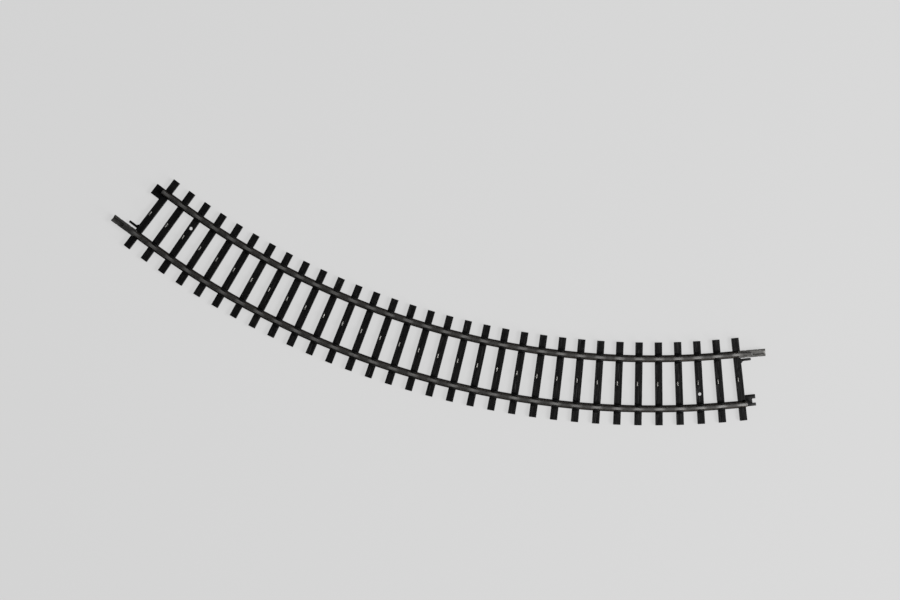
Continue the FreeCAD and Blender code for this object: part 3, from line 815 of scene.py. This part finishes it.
def sheet_material(name, first, second, low_rough, high_rough, scale):
    """Rolled sheet: fine brushed lines, faint tarnish."""
    nodes = Nodes(name)
    patch = nodes.noise(scale, 5)
    line = nodes.noise(7000, 3, (0.2, 1, 1))
    nodes.link(nodes.blend(nodes.span(patch, 0.35, 0.7), first, second), nodes.shader.inputs["Base Color"])
    nodes.shader.inputs["Metallic"].default_value = 1.0
    nodes.link(nodes.span(line, 0.3, 0.7, low_rough, high_rough), nodes.shader.inputs["Roughness"])
    nodes.bump(line, 0.25, 0.000015)
    return nodes.material


def floor_material():
    """Pale studio sheet that glows enough to keep its tone between the sleepers."""
    nodes = Nodes("pale_studio_sheet")
    nodes.shader.inputs["Base Color"].default_value = (0.1, 0.1, 0.1, 1)
    nodes.shader.inputs["Roughness"].default_value = 0.9
    nodes.shader.inputs["Specular IOR Level"].default_value = 0.0
    nodes.shader.inputs["Emission Color"].default_value = (1, 1, 1, 1)
    nodes.shader.inputs["Emission Strength"].default_value = 0.58
    return nodes.material


# ---------------------------------------------------------------- stage

VIEW_TURN = math.radians(15.68)
VIEW_CENTRE = Vector((0.00051, 0.00437, SLEEPER_TOP * MM))
VIEW_WIDTH = 0.32337
LENS = 150
SENSOR = 36


def add_camera():
    """Straight down on the track through a long lens."""
    data = bpy.data.cameras.new("camera")
    data.lens = LENS
    data.sensor_width = SENSOR
    data.clip_start = 0.01
    camera = bpy.data.objects.new("camera", data)
    camera.location = VIEW_CENTRE + Vector((0, 0, VIEW_WIDTH * LENS / SENSOR))
    camera.rotation_euler = (0, 0, VIEW_TURN)
    bpy.context.scene.collection.objects.link(camera)
    bpy.context.scene.camera = camera


def add_light(name, azimuth, elevation, distance, size, power):
    """A soft light aimed at the track; azimuth is counted from the right of the view."""
    data = bpy.data.lights.new(name, "AREA")
    data.shape = "RECTANGLE"
    data.size, data.size_y = size
    data.energy = power
    light = bpy.data.objects.new(name, data)
    turn = math.radians(azimuth) + VIEW_TURN
    rise = math.radians(elevation)
    away = Vector((math.cos(turn) * math.cos(rise), math.sin(turn) * math.cos(rise), math.sin(rise)))
    light.location = away * distance
    light.rotation_euler = away.to_track_quat("Z", "Y").to_euler()
    bpy.context.scene.collection.objects.link(light)


def add_stage():
    """Pale floor, even surroundings and three soft lights."""
    mesh = bpy.data.meshes.new("floor")
    reach = 4.0
    mesh.from_pydata(
        [(-reach, -reach, 0), (reach, -reach, 0), (reach, reach, 0), (-reach, reach, 0)], [], [(0, 1, 2, 3)])
    floor = bpy.data.objects.new("floor", mesh)
    floor.location.z = -0.00002
    mesh.materials.append(floor_material())
    bpy.context.scene.collection.objects.link(floor)
    world = bpy.data.worlds.new("studio")
    world.use_nodes = True
    world.node_tree.nodes["Background"].inputs["Color"].default_value = (1, 1, 1, 1)
    world.node_tree.nodes["Background"].inputs["Strength"].default_value = 0.12
    bpy.context.scene.world = world
    add_light("key_right", -14, 53, 1.0, (0.4, 0.4), 9)
    add_light("low_right", -35, 24, 1.1, (0.5, 0.25), 4)
    add_light("fill_left", 150, 30, 1.3, (0.8, 0.4), 1)
    bpy.context.scene.view_settings.view_transform = "Standard"


def carry_over(node, material):
    """A CAD piece that keeps its shape and gets a finish."""
    data = frame["nodes"][node].data
    data.materials.clear()
    data.materials.append(material)


plastic = plastic_material()
rail_steel = rail_material()
joiner_steel = sheet_material("joiner_sheet", (0.07, 0.0685, 0.065), (0.135, 0.132, 0.127), 0.36, 0.52, 500)
contact_steel = sheet_material("contact_sheet", (0.1, 0.098, 0.092), (0.2, 0.196, 0.186), 0.3, 0.45, 900)
bronze = sheet_material("spring_bronze", (0.2, 0.12, 0.06), (0.32, 0.2, 0.1), 0.34, 0.48, 900)
make_bed(plastic)
make_rail("inner_rail", RAIL_OFFSET, RIGHT, rail_steel)
make_rail("outer_rail", -RAIL_OFFSET, LEFT, rail_steel)
make_strip(contact_steel)
for side, side_name in SIDE_NAMES.items():
    make_joiner(side, joiner_steel)
    carry_over(side_name + "_tongue_blade", contact_steel)
    carry_over(side_name + "_pocket_leaf", bronze)
add_stage()
add_camera()
